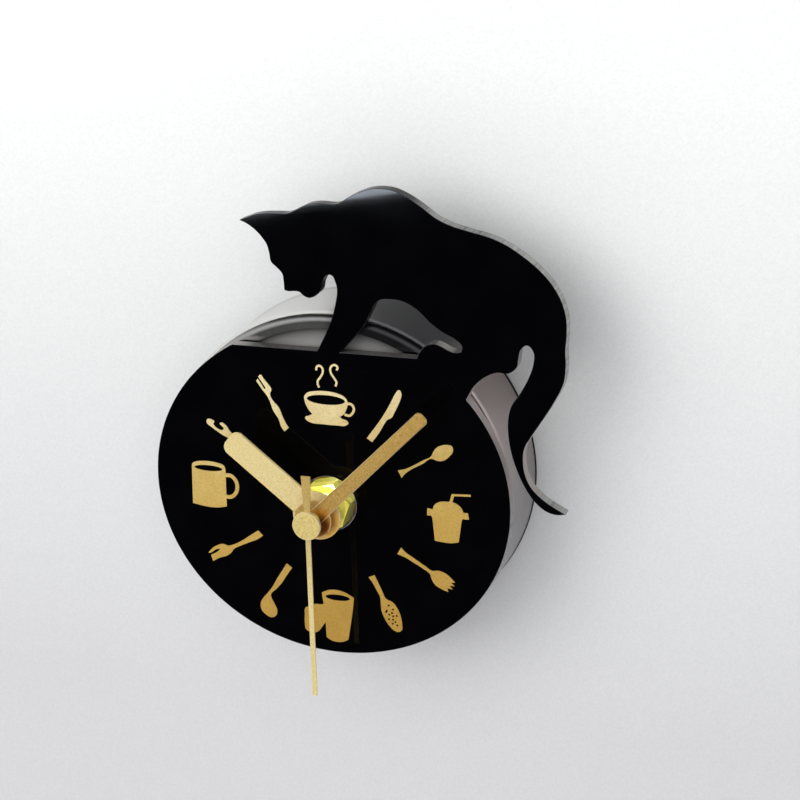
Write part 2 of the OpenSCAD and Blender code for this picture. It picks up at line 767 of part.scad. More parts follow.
module motion_wheel()
  color([0.92, 0.9, 0.84])
    stand()
      translate([motion_at[0], motion_at[1], 0])
        difference() {
          union() {
            slab(16.5, 17.5) gear(36, 0.35, motion_phase);
            slab(17.4, 19.4) gear(10, 0.336, mesh(motion_dir, 0, 40, 10));
          }
          rod([0, 0], 0.85, 10, 30);
        }

module rotor_pinion()
  color([0.9, 0.88, 0.8])
    stand()
      translate([rotor_at[0], rotor_at[1], 0]) {
        slab(9.2, 10.8) gear(10, 0.24, mesh(rotor_dir, 0, 60, 10));
        arbor(room_front, room_back);
      }

module rotor_magnet()
  color([0.25, 0.25, 0.27])
    stand()
      ring(rotor_at, 2.6, 0.72, 11.6, 14.4);

module setting_knob()
  color([0.08, 0.08, 0.09])
    stand()
      translate([knob_at[0], knob_at[1], 0]) {
        slab(16.5, 17.5) gear(14, 0.35, mesh(knob_dir, motion_phase, 36, 14));
        rod([0, 0], 1.25, 4.6, 16.6);
        rod([0, 0], 1.6, 17.4, room_front - 0.2);
        difference() {
          rod([0, 0], 4.3, 1, 4.7);
          for (a = [0 : 24 : 336])
            rotate([0, 0, a]) translate([4.45, 0, 0]) cylinder(h = 10, r = 0.35, $fn = 16);
        }
      }

// laminated iron loop: it runs round the rotor and up both sides to the coil
stator_low = 12.6;
stator_high = 13.4;

module stator()
  color([0.55, 0.55, 0.57])
    stand()
      slab(stator_low, stator_high)
        translate(rotor_at)
          difference() {
            union() {
              circle(r = 4.6);
              translate([-3, 0]) square([3, 11.6]);
              translate([0.6, -3]) square([10.4, 6]);
              translate([8.2, -3]) square([2.8, 14.6]);
              translate([-3, 9.2]) square([14, 2.4]);
            }
            circle(r = 3.1);
            translate([-0.4, 3]) square([1, 2]);
          }

coil_mid = [rotor_at[0] + 4.1, rotor_at[1] + 10.4];

module coil_bobbin()
  color([0.9, 0.9, 0.86])
    stand()
      translate([coil_mid[0], coil_mid[1], 13])
        rotate([0, 90, 0])
          difference() {
            union() {
              translate([0, 0, -4]) cylinder(h = 8, r = 1.9);
              for (s = [-4, 3.4]) translate([0, 0, s]) cylinder(h = 0.6, r = 2.9);
            }
            translate([-0.45, -1.25, -5]) cube([0.9, 2.5, 10]);
          }

module coil_winding()
  color([0.72, 0.36, 0.16])
    stand()
      translate([coil_mid[0], coil_mid[1], 13])
        rotate([0, 90, 0])
          translate([0, 0, -3.35])
            difference() {
              cylinder(h = 6.7, r = 2.7);
              translate([0, 0, -1]) cylinder(h = 9, r = 1.95);
            }

board_at = [hub_x - 13.6, hub_y + 20.3];

module circuit_board()
  color([0.1, 0.35, 0.15])
    stand()
      slab(14, 14.8)
        translate(board_at)
          difference() {
            square([17, 9], center = true);
            for (s = [-1, 1]) translate([s * 7.2, 3.2]) circle(r = 0.6, $fn = 24);
          }

module crystal()
  color([0.75, 0.75, 0.77])
    stand()
      translate([board_at[0] + 1, board_at[1] + 2.6, 12.9])
        rotate([0, 90, 0]) cylinder(h = 6, r = 1);

module chip()
  color([0.03, 0.03, 0.03])
    stand()
      translate([board_at[0] - 3.6, board_at[1] - 0.6, 13.3])
        cylinder(h = 0.7, r = 2.2);

module plus_contact()
  color([0.8, 0.8, 0.78])
    stand()
      translate([hub_x, hub_y - cell_drop, 0]) {
        translate([26.1, -4, 8]) cube([0.3, 8, 10]);
        translate([25.65, -1.2, 11.5]) cube([0.5, 2.4, 2.6]);
      }

module minus_contact()
  color([0.8, 0.8, 0.78])
    stand()
      translate([hub_x, hub_y - cell_drop, 0]) {
        translate([-26.4, -4, 8]) cube([0.3, 8, 10]);
        for (s = [-2.6, 1.4]) translate([-26.15, s, 11.2]) cube([0.55, 1.2, 3.2]);
      }

cell_mid = [hub_x, hub_y - cell_drop, 12.95];

module battery()
  color([0.8, 0.8, 0.8])
    stand()
      translate(cell_mid)
        rotate([0, 90, 0]) {
          translate([0, 0, -25.4]) cylinder(h = 49.4, r = cell_r - 0.2);
          translate([0, 0, 23.9]) cylinder(h = 1.5, r = 2.7);
        }

module battery_sleeve()
  color([0.1, 0.25, 0.55])
    stand()
      translate(cell_mid)
        rotate([0, 90, 0])
          translate([0, 0, -25.1])
            difference() {
              cylinder(h = 48.8, r = cell_r);
              translate([0, 0, -1]) cylinder(h = 60, r = cell_r - 0.18);
            }

// ---- output ----

front_panel();
dial_print();
mounting_pad();
tin_case();
back_plate();
magnets();
movement_front();
movement_back();
case_screws();
case_gasket();
shaft_bush();
dial_washer();
hex_nut();
hour_hand();
minute_hand();
second_hand();
second_cap();
hour_wheel();
minute_pipe();
seconds_wheel();
centre_wheel();
third_wheel();
middle_wheel();
motion_wheel();
rotor_pinion();
rotor_magnet();
setting_knob();
stator();
coil_bobbin();
coil_winding();
circuit_board();
crystal();
chip();
plus_contact();
minus_contact();
battery();
battery_sleeve();
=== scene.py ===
"""Looks of the cat tail clock: finishes, softened edges, thread and wire on the CAD frame, and its stage.

Metres, +Z up. The magnets' face lies in the plane y = 0, and the dial looks along -Y.
"""

import json
import math

import bmesh
import bpy
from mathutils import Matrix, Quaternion, Vector

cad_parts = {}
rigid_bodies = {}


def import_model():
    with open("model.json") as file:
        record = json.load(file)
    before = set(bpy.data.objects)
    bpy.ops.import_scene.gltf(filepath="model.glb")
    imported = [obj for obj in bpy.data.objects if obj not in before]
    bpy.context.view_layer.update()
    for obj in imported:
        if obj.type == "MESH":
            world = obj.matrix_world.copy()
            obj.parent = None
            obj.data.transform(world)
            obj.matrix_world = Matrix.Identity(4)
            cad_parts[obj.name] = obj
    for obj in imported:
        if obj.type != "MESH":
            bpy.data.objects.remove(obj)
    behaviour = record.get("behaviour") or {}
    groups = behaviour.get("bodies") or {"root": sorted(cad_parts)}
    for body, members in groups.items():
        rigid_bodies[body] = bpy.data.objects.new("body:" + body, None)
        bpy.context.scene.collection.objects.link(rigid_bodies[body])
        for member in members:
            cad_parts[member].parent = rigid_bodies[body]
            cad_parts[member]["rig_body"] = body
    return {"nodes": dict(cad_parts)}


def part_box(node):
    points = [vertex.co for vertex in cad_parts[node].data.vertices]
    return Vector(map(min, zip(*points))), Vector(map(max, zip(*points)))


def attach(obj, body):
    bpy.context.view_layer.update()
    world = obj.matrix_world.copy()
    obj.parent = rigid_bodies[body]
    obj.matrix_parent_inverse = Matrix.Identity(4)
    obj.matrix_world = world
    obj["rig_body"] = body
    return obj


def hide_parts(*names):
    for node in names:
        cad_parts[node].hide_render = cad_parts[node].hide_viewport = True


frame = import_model()
bpy.context.view_layer.update()
nodes = frame["nodes"]
MM = 0.001
MICRON = 1e-6
WHITE = (1.0, 1.0, 1.0)

# the hand shaft, the front of the panel and the front of the tin, from the frame
cap_low, cap_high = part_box("second_cap")
HUB = Vector(((cap_low.x + cap_high.x) / 2, 0, (cap_low.z + cap_high.z) / 2))
PANEL_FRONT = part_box("front_panel")[0].y
TIN_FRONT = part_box("tin_case")[0].y

# in mm: the radius of the dish in the tin's front, and how far behind the rim its duller finish and painted
# shade begin
DISH_RADIUS = 40.1
DISH_START = 0.7
# how steeply the reflection along the polished panel's top rises to the right
SHEEN_SLOPE = 0.18


# ---- node helpers ----

def feed(tree, socket, value):
    """Gives an input an output or a plain value."""
    if isinstance(value, bpy.types.NodeSocket):
        tree.links.new(value, socket)
    else:
        socket.default_value = value


def give(tree, shader, **values):
    """Feeds the shader's inputs by name, with _ for a space."""
    for name, value in values.items():
        feed(tree, shader.inputs[name.replace("_", " ")], value)


def look(name, **values):
    """A new material with its one Principled shader: (material, its tree, the shader)."""
    made = bpy.data.materials.new(name)
    made.use_nodes = True
    tree = made.node_tree
    shader = tree.nodes["Principled BSDF"]
    give(tree, shader, **values)
    return made, tree, shader


def place(tree, stretch=(1, 1, 1)):
    """Coordinates in metres on the object, stretched."""
    coords = tree.nodes.new("ShaderNodeTexCoord")
    mapping = tree.nodes.new("ShaderNodeMapping")
    mapping.inputs["Scale"].default_value = stretch
    tree.links.new(coords.outputs["Object"], mapping.inputs["Vector"])
    return mapping.outputs["Vector"]


def parts(tree, kind):
    """X, Y and Z of a texture coordinate: Object for the place in metres, Normal for the way a face looks."""
    coords = tree.nodes.new("ShaderNodeTexCoord")
    made = tree.nodes.new("ShaderNodeSeparateXYZ")
    tree.links.new(coords.outputs[kind], made.inputs["Vector"])
    return [made.outputs[axis] for axis in "XYZ"]


def noise(tree, size_mm, detail=2.0, rough=0.5, stretch=(1, 1, 1)):
    """Soft noise with features of about size_mm."""
    made = tree.nodes.new("ShaderNodeTexNoise")
    made.inputs["Scale"].default_value = 1 / (size_mm * MM)
    made.inputs["Detail"].default_value = detail
    made.inputs["Roughness"].default_value = rough
    tree.links.new(place(tree, stretch), made.inputs["Vector"])
    return made.outputs["Fac"]


def levels(tree, value, low, high, start=0.3, end=0.7):
    """value between start and end becomes a number between low and high."""
    made = tree.nodes.new("ShaderNodeMapRange")
    made.inputs["From Min"].default_value = start
    made.inputs["From Max"].default_value = end
    made.inputs["To Min"].default_value = low
    made.inputs["To Max"].default_value = high
    tree.links.new(value, made.inputs["Value"])
    return made.outputs["Result"]


def ramp(tree, distance, start_mm, end_mm, low=0, high=1):
    """A distance between start_mm and end_mm becomes a number between low and high."""
    return levels(tree, distance, low, high, start_mm * MM, end_mm * MM)


def tones(tree, value, *stops, blend="LINEAR"):
    """value becomes a colour, by stops of (position, (r, g, b))."""
    made = tree.nodes.new("ShaderNodeValToRGB")
    band = made.color_ramp
    band.interpolation = blend
    while len(band.elements) < len(stops):
        band.elements.new(0.5)
    for element, (position, colour) in zip(band.elements, stops):
        element.position = position
        element.color = (*colour, 1)
    tree.links.new(value, made.inputs["Fac"])
    return made.outputs["Color"]


def mixed(tree, fac, first, second, kind="RGBA", blend="MIX"):
    """Two colours or two numbers mixed by fac; each may be an output or a plain value."""
    made = tree.nodes.new("ShaderNodeMix")
    made.data_type = kind
    if kind == "RGBA":
        made.blend_type = blend
    inputs = [s for s in made.inputs if s.enabled]
    for socket, value in zip(inputs, (fac, first, second)):
        feed(tree, socket, value)
    return next(s for s in made.outputs if s.enabled)


def tinted(tree, first, second):
    """Two colours multiplied."""
    return mixed(tree, 1.0, first, second, blend="MULTIPLY")


def math_node(tree, kind, first, second=0.0):
    """One sum on numbers that may be outputs or plain values."""
    made = tree.nodes.new("ShaderNodeMath")
    made.operation = kind
    for socket, value in zip(made.inputs, (first, second)):
        feed(tree, socket, value)
    return made.outputs["Value"]


def product(tree, first, *others):
    """Numbers multiplied."""
    for value in others:
        first = math_node(tree, "MULTIPLY", first, value)
    return first


def reach(tree, x, z, centre):
    """Distance from centre across the plane of the dial."""
    flat = tree.nodes.new("ShaderNodeCombineXYZ")
    tree.links.new(x, flat.inputs["X"])
    tree.links.new(z, flat.inputs["Z"])
    made = tree.nodes.new("ShaderNodeVectorMath")
    made.operation = "DISTANCE"
    tree.links.new(flat.outputs["Vector"], made.inputs[0])
    made.inputs[1].default_value = centre
    return made.outputs["Value"]


def relief(tree, shader, value, depth_mm, strength):
    """Bump of depth_mm."""
    made = tree.nodes.new("ShaderNodeBump")
    made.inputs["Distance"].default_value = depth_mm * MM
    made.inputs["Strength"].default_value = strength
    tree.links.new(value, made.inputs["Height"])
    give(tree, shader, Normal=made.outputs["Normal"])


# ---- finishes, some with painted light and shade ----

def frost_and_highlight(tree, x, z, right, up):
    """How frosted the panel's cut edge is, partly real frost and partly a painted highlight on edges that
    face
    right or up, where the light falls: fully over the cat's rump, mostly on the outside of the tail and bowl
    and at the left end of the bowl's rim, and little or not at all elsewhere."""
    past_hump = ramp(tree, x, 16, 22, 0, 0.03)
    along_back = mixed(tree, ramp(tree, x, 38, 50), past_hump, 1.0, "FLOAT")
    rump = product(tree, ramp(tree, z, 52, 60), along_back, math_node(tree, "MAXIMUM", right, up))
    on_bowl = ramp(tree, x, 22, 28, 0, 0.85)
    on_tail = ramp(tree, z, -3, 8, 0.66, 0.9)
    outside = product(tree, right, mixed(tree, ramp(tree, x, 47, 50), on_bowl, on_tail, "FLOAT"))
    below_cat = ramp(tree, z, 45, 50, 1, 0)
    rim = product(tree, up, below_cat, ramp(tree, x, -21.5, -17.5, 0.8, 0.16))
    return math_node(tree, "MAXIMUM", math_node(tree, "MAXIMUM", rump, outside), rim)


def acrylic():
    """Black cast acrylic: polished faces with faint wipe marks, and dark or frosted cut edges with fine laser
    lines; the frosted share carries a painted highlight. Beside the tin the frosted tail is painted pinker, a
    painted reflection of the tin."""
    made, tree, shader = look("acrylic", IOR=1.49)
    x, _, z = parts(tree, "Object")
    face_x, face_y, face_z = parts(tree, "Normal")
    cut = levels(tree, math_node(tree, "ABSOLUTE", face_y), 1, 0, 0.55, 0.9)
    right = levels(tree, face_x, 0, 1, -0.1, 0.45)
    up = levels(tree, face_z, 0, 1, 0.2, 0.6)
    # frost share, partly a painted highlight on edges that face right or up
    frost_and_highlight_share = frost_and_highlight(tree, x, z, right, up)
    below_cat = ramp(tree, z, 30, 45, 1, 0)
    above_hook = ramp(tree, z, -4, 6)
    # the part of the tail beside the tin, where a painted reflection of the tin makes the edge pinker
    tin_reflection_zone = product(tree, below_cat, above_hook, ramp(tree, x, 50, 54, 1, 0))

    lines = noise(tree, 0.45, 3, 0.6, stretch=(1, 0.02, 1))
    face = tones(tree, noise(tree, 9), (0.3, (0.0002, 0.0002, 0.0004)), (0.7, (0.0006, 0.0006, 0.0009)))
    dark = tones(tree, lines, (0.35, (0.004, 0.004, 0.004)), (0.65, (0.02, 0.02, 0.019)))
    light = tones(tree, lines, (0.3, (0.24, 0.24, 0.228)), (0.7, (0.55, 0.555, 0.535)))
    # the pink tone is a painted reflection of the tin
    pale = mixed(tree, tin_reflection_zone, light, (0.44, 0.39, 0.375, 1))
    wipe = levels(tree, noise(tree, 14, 3, 0.6, stretch=(1, 1, 0.5)), 0.02, 0.04)
    satin = mixed(tree, frost_and_highlight_share, levels(tree, lines, 0.12, 0.24), levels(tree, lines, 0.3, 0.45), "FLOAT")
    give(tree, shader, Base_Color=mixed(tree, cut, face, mixed(tree, frost_and_highlight_share, dark, pale)),
         Roughness=mixed(tree, cut, wipe, satin, "FLOAT"),
         Specular_IOR_Level=mixed(tree, cut, 0.16, 0.06, "FLOAT"))
    relief(tree, shader, product(tree, lines, cut), 0.05, 0.5)
    return made


def gold_print():
    """Satin gold ink with a fine metallic fleck, and painted light: paler towards the top left of the dial.
    """
    made, tree, shader = look("gold_print", Metallic=0.35, IOR=1.45)
    fleck = noise(tree, 0.42, 3, 0.7)
    x, _, z = parts(tree, "Object")
    # painted light: the ink is paler higher up and to the left, darker lower down
    painted_light_height = math_node(tree, "ADD", z, product(tree, x, -0.2))
    painted_light_height = math_node(tree, "ADD", painted_light_height, product(tree, noise(tree, 5), 20 * MM))
    tone = tones(tree, ramp(tree, painted_light_height, -25, 35), (0.0, (0.57, 0.34, 0.068)), (0.42, (0.67, 0.44, 0.108)),
                 (0.7, (0.76, 0.54, 0.165)), (1.0, (1.0, 0.85, 0.48)))
    grain = tones(tree, fleck, (0.32, (0.84, 0.8, 0.71)), (0.56, WHITE))
    give(tree, shader, Base_Color=tinted(tree, tone, grain), Roughness=levels(tree, fleck, 0.34, 0.52))
    relief(tree, shader, fleck, 0.02, 0.5)
    return made


def hand_gold(name, high, low, top=13, bottom=-20, metallic=0.35, cap_shadow_span=None, speckle=(0.86, 0.83, 0.76),
              rim=0.5):
    """Fine-blasted gold lacquer on a pressed hand: high and low are its colours at heights top and bottom, a
    painted light gradient. Near the shaft it is painted bronze, a painted shadow and reflection of the cap:
    it
    goes from bronze to gold between two distances from a point beside the shaft. Its edges are paler, by rim:
    a painted highlight. Heights and distances are in mm."""
    made, tree, shader = look(name, Metallic=metallic, IOR=1.5)
    grain = noise(tree, 0.42, 3, 0.7)
    x, _, z = parts(tree, "Object")
    _, face_y, _ = parts(tree, "Normal")
    # painted light: the tone changes with height
    painted_light_height = math_node(tree, "ADD", z, product(tree, noise(tree, 4), 6 * MM))
    tone = tones(tree, ramp(tree, painted_light_height, bottom, top), (0.0, low), (1.0, high))
    tone = tinted(tree, tone, tones(tree, grain, (0.34, speckle), (0.56, WHITE)))
    if cap_shadow_span:
        # painted shadow and reflection of the cap, bronze near the shaft
        away = ramp(tree, reach(tree, x, z, HUB + Vector((1.8, 0, -1.3)) * MM), *cap_shadow_span)
        painted_cap_shadow = tones(tree, away, (0.0, (0.24, 0.09, 0.02)), (0.55, (1.0, 0.7, 0.32)), (1.0, WHITE))
        tone = tinted(tree, tone, painted_cap_shadow)
    # painted highlight: paler where the face turns to an edge
    edge_highlight = levels(tree, math_node(tree, "ABSOLUTE", face_y), rim, 0, 0.7, 0.97)
    give(tree, shader, Base_Color=mixed(tree, edge_highlight, tone, (0.95, 0.76, 0.42, 1)),
         Roughness=levels(tree, grain, 0.3, 0.44))
    relief(tree, shader, grain, 0.015, 0.5)
    return made


def metal(name, dark, light, grain_mm, rough, depth_mm=0.01, metallic=1.0):
    """Bare or plated metal with a fine grain, clouded over a dozen grains."""
    made, tree, shader = look(name, Metallic=metallic)
    grain = noise(tree, grain_mm, 3, 0.6)
    uneven = mixed(tree, 0.5, grain, noise(tree, grain_mm * 12), "FLOAT")
    give(tree, shader, Base_Color=tones(tree, grain, (0.3, dark), (0.7, light)),
         Roughness=levels(tree, uneven, *rough))
    relief(tree, shader, grain, depth_mm, 0.3)
    return made


def tin_plate():
    """Tinplate, with painted light and shade: bright on the left, painted duller and pinker to the right as a
    painted reflection of the shaded wall, and painted shade makes it dark under the cat's belly and at the
    back hem on the right. The dished face is duller still, with painted shade darkest in its corner."""
    made, tree, shader = look("tin")
    grain = noise(tree, 0.35, 3, 0.6)
    x, y, z = parts(tree, "Object")
    plain = tones(tree, grain, (0.3, (0.73, 0.725, 0.7)), (0.7, (0.8, 0.795, 0.77)))
    # painted reflection and shade: pinker and darker on the right side
    pink_reflection = tones(tree, ramp(tree, z, -12, 22), (0.0, (0.25, 0.235, 0.245)), (1.0, (0.46, 0.39, 0.375)))
    shell_with_painted_shade = mixed(tree, ramp(tree, x, -5, 20), plain, pink_reflection)
    # painted shade under the cat's belly
    belly_shade = product(tree, ramp(tree, x, -1, 4), ramp(tree, x, 26, 34, 1, 0), ramp(tree, z, 28, 36))
    shell_with_painted_shade = mixed(tree, belly_shade, shell_with_painted_shade, (0.12, 0.12, 0.126, 1))
    # painted contact shade at the back hem on the right
    hem_shade = product(tree, ramp(tree, y, -0.9, -0.6), ramp(tree, x, 10, 30))
    shell_with_painted_shade = mixed(tree, hem_shade, shell_with_painted_shade, (0.03, 0.028, 0.028, 1))

    out = reach(tree, x, z, (0, 0, 0))
    start = TIN_FRONT / MM + DISH_START
    inside = ramp(tree, out, DISH_RADIUS, DISH_RADIUS + 0.2, 1, 0)
    dish = product(tree, ramp(tree, y, start, start + 0.1), inside)
    # painted shade in the dish, darkest in its corner
    hollow_with_corner_shade = tones(tree, ramp(tree, out, DISH_RADIUS, 36), (0.0, (0.06, 0.06, 0.06)),
                   (0.4, (0.24, 0.236, 0.232)), (1.0, (0.46, 0.45, 0.44)))
    uneven = mixed(tree, 0.5, grain, noise(tree, 4), "FLOAT")
    give(tree, shader, Base_Color=mixed(tree, dish, shell_with_painted_shade, hollow_with_corner_shade),
         Metallic=mixed(tree, dish, 1.0, 0.35, "FLOAT"), Roughness=levels(tree, uneven, 0.17, 0.25))
    relief(tree, shader, grain, 0.003, 0.3)
    return made


def plastic(name, dark, light, grain_mm, rough, depth_mm):
    """Moulded plastic or rubber with a fine spark-eroded texture."""
    made, tree, shader = look(name)
    grain = noise(tree, grain_mm, 3, 0.6)
    give(tree, shader, Base_Color=tones(tree, noise(tree, 12), (0.3, dark), (0.7, light)),
         Roughness=levels(tree, grain, *rough))
    relief(tree, shader, grain, depth_mm, 0.5)
    return made


def foam():
    """Closed-cell foam: round cells, 0.35 mm apart, cut open at the faces."""
    made, tree, shader = look("foam", Roughness=0.9)
    cells = tree.nodes.new("ShaderNodeTexVoronoi")
    cells.inputs["Scale"].default_value = 1 / (0.35 * MM)
    tree.links.new(place(tree), cells.inputs["Vector"])
    cell = cells.outputs["Distance"]
    give(tree, shader, Base_Color=tones(tree, cell, (0.0, (0.16, 0.16, 0.165)), (0.6, (0.4, 0.4, 0.41))))
    relief(tree, shader, cell, 0.1, 0.8)
    return made


def board():
    """Green solder mask with copper tracks under it."""
    made, tree, shader = look("board_green")
    bands = tree.nodes.new("ShaderNodeTexWave")
    bands.inputs["Scale"].default_value = 160
    bands.inputs["Distortion"].default_value = 6
    tree.links.new(place(tree), bands.inputs["Vector"])
    track = bands.outputs["Fac"]
    give(tree, shader, Base_Color=tones(tree, track, (0.45, (0.02, 0.12, 0.045)), (0.6, (0.06, 0.26, 0.09))),
         Roughness=levels(tree, track, 0.3, 0.42))
    relief(tree, shader, levels(tree, track, 0, 1, 0.45, 0.6), 0.04, 0.6)
    return made


def sleeve():
    """Printed film on the cell: a blue body with a pale stripe and a pale band at the plus end."""
    made, tree, shader = look("cell_sleeve", Coat_Weight=0.4, Coat_Roughness=0.1)
    blue, pale = (0.02, 0.06, 0.22), (0.75, 0.75, 0.74)
    low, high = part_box("battery_sleeve")
    x, _, _ = parts(tree, "Object")
    print_colour = tones(tree, levels(tree, x, 0, 1, low.x, high.x), (0.0, blue), (0.66, pale), (0.68, blue),
                         (0.71, pale), blend="CONSTANT")
    speck = noise(tree, 0.4, 3)
    dim = tones(tree, speck, (0.3, (0.9, 0.9, 0.9)), (0.7, WHITE))
    give(tree, shader, Base_Color=tinted(tree, print_colour, dim), Roughness=levels(tree, speck, 0.26, 0.36))
    return made


# each metal's dark and light tones, grain in mm, roughness range, depth of the grain in mm and metallic share
METALS = {
    "nut_brass": ((0.94, 0.82, 0.07), (1.0, 0.94, 0.22), 0.5, (0.08, 0.18), 0.012, 0.45),
    "washer_steel": ((0.62, 0.62, 0.63), (0.74, 0.74, 0.75), 0.4, (0.06, 0.12), 0.004),
    "magnet_plate": ((0.62, 0.61, 0.58), (0.74, 0.73, 0.7), 0.8, (0.12, 0.22), 0.006),
    "screw_steel": ((0.5, 0.5, 0.5), (0.68, 0.68, 0.68), 0.4, (0.2, 0.34)),
    "contact_steel": ((0.62, 0.61, 0.58), (0.74, 0.73, 0.7), 0.5, (0.14, 0.24)),
    "cell_steel": ((0.55, 0.55, 0.55), (0.7, 0.7, 0.69), 0.5, (0.2, 0.32)),
    "stator_iron": ((0.32, 0.32, 0.33), (0.46, 0.46, 0.47), 0.5, (0.34, 0.5)),
    "rotor_ferrite": ((0.08, 0.08, 0.085), (0.14, 0.14, 0.15), 0.3, (0.45, 0.6)),
    "copper_wire": ((0.55, 0.2, 0.07), (0.78, 0.33, 0.13), 0.3, (0.16, 0.28)),
}
# each plastic's dark and light tones, grain in mm, roughness range and depth of the grain in mm
PLASTICS = {
    "black_abs": ((0.014, 0.014, 0.015), (0.022, 0.022, 0.024), 0.45, (0.42, 0.6), 0.05),
    "case_plastic": ((0.02, 0.02, 0.022), (0.032, 0.032, 0.035), 0.6, (0.36, 0.5), 0.04),
    "gasket_rubber": ((0.01, 0.01, 0.01), (0.02, 0.02, 0.02), 0.6, (0.7, 0.85), 0.05),
    "wheel_acetal": ((0.78, 0.75, 0.66), (0.86, 0.84, 0.76), 0.4, (0.3, 0.42), 0.01),
    "bobbin_plastic": ((0.76, 0.74, 0.66), (0.84, 0.82, 0.74), 0.4, (0.4, 0.52), 0.02),
}
FINISH = {
    "acrylic": acrylic(),
    "gold_print": gold_print(),
    "hand_gold": hand_gold("hand_gold", (0.96, 0.79, 0.38), (0.96, 0.79, 0.38), cap_shadow_span=(0.8, 5.8)),
    "tin": tin_plate(),
    "foam": foam(),
    "board_green": board(),
    "cell_sleeve": sleeve(),
}
FINISH.update({name: metal(name, *values) for name, values in METALS.items()})
FINISH.update({name: plastic(name, *values) for name, values in PLASTICS.items()})
# the minute hand, the second hand and its cap differ a little in tone from the hour hand; for the hands this
# is painted light and shade, for how each hand meets the light
MINUTE_GOLD = hand_gold("minute_gold", (0.6, 0.385, 0.105), (0.7, 0.46, 0.135), top=30, bottom=0,
                        metallic=0.45, cap_shadow_span=(1.6, 4.8), speckle=(0.7, 0.62, 0.48), rim=0.6)
SECOND_GOLD = hand_gold("second_gold", (0.6, 0.41, 0.13), (0.96, 0.8, 0.38), top=12, bottom=-16,
                        speckle=(0.78, 0.72, 0.6))
CAP_GOLD = hand_gold("cap_gold", (0.88, 0.71, 0.28), (0.88, 0.71, 0.28), speckle=(0.78, 0.72, 0.58), rim=1.0)
SLOT_OF = {name: node.data.materials[0].name for name, node in nodes.items()}


def dress_nodes():
    """Every CAD node takes the finish of its own material slot."""
    for name, node in nodes.items():
        node.data.materials[0] = FINISH[SLOT_OF[name]]


# ---- pieces ----

def mesh_of(name, shape):
    """The bmesh shape as a mesh, with its faces flat."""
    mesh = bpy.data.meshes.new(name)
    shape.to_mesh(mesh)
    shape.free()
    return mesh


def smooth_mesh(name, shape, crisp=None):
    """The bmesh shape as a mesh shaded smooth, but not over edges sharper than crisp degrees."""
    mesh = mesh_of(name, shape)
    if "custom_normal" in mesh.attributes:
        mesh.attributes.remove(mesh.attributes["custom_normal"])
    mesh.shade_smooth()
    if crisp:
        mesh.set_sharp_from_angle(angle=math.radians(crisp))
    return mesh


def cad_shape(node):
    """A CAD node's mesh to work on, with its doubled corners joined."""
    shape = bmesh.new()
    shape.from_mesh(nodes[node].data)
    bmesh.ops.remove_doubles(shape, verts=shape.verts, dist=MICRON)
    return shape


def new_piece(mesh, body, slot, replaced, finish=None):
    """Puts a mesh in the scene as a piece of the object, in place of the CAD nodes replaced."""
    piece = bpy.data.objects.new(mesh.name, mesh)
    bpy.context.scene.collection.objects.link(piece)
    mesh.materials.clear()
    mesh.materials.append(finish or FINISH[slot])
    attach(piece, body)
    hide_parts(*replaced)
    return piece


def softened(node, name, width_mm, segments=2, finish=None):
    """A copy of a CAD node with its hard edges rounded, as cutting, pressing or moulding leaves them."""
    shape = cad_shape(node)
    bmesh.ops.dissolve_limit(shape, angle_limit=math.radians(0.4), verts=shape.verts, edges=shape.edges)
    piece = new_piece(smooth_mesh(name, shape), nodes[node]["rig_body"], SLOT_OF[node], [node], finish)
    edge = piece.modifiers.new("edge", "BEVEL")
    edge.width = width_mm * MM
    edge.segments = segments
    edge.limit_method = "ANGLE"
    edge.angle_limit = math.radians(35)
    edge.loop_slide = False
    edge.harden_normals = True


def pressed(node, name, width_mm, finish):
    """A copy of a sheet hand with the front edge of its outline chamfered, as the press leaves it."""
    shape = cad_shape(node)
    front = min(v.co.y for v in shape.verts)
    flat = [f for f in shape.faces if all(abs(v.co.y - front) < MICRON for v in f.verts)]
    width = width_mm * MM
    bmesh.ops.inset_region(shape, faces=flat, thickness=width, use_even_offset=True, use_boundary=True)
    # a vertex beside one that has already moved counts as at the rim, so about a third of the inner ones sink
    for v in shape.verts:
        at_rim = any(abs(e.other_vert(v).co.y - front) > 20 * MICRON for e in v.link_edges)
        if at_rim and abs(v.co.y - front) < MICRON:
            v.co.y += width * 0.8
    new_piece(smooth_mesh(name, shape, 30), nodes[node]["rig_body"], SLOT_OF[node], [node], finish)


def join_rings(shape, rings):
    """Faces from each ring of vertices to the next, and from the last to the first."""
    for here, there in zip(rings, rings[1:] + rings[:1]):
        for j in range(len(here)):
            n = (j + 1) % len(here)
            shape.faces.new((here[j], here[n], there[n], there[j]))
    bmesh.ops.recalc_face_normals(shape, faces=shape.faces)


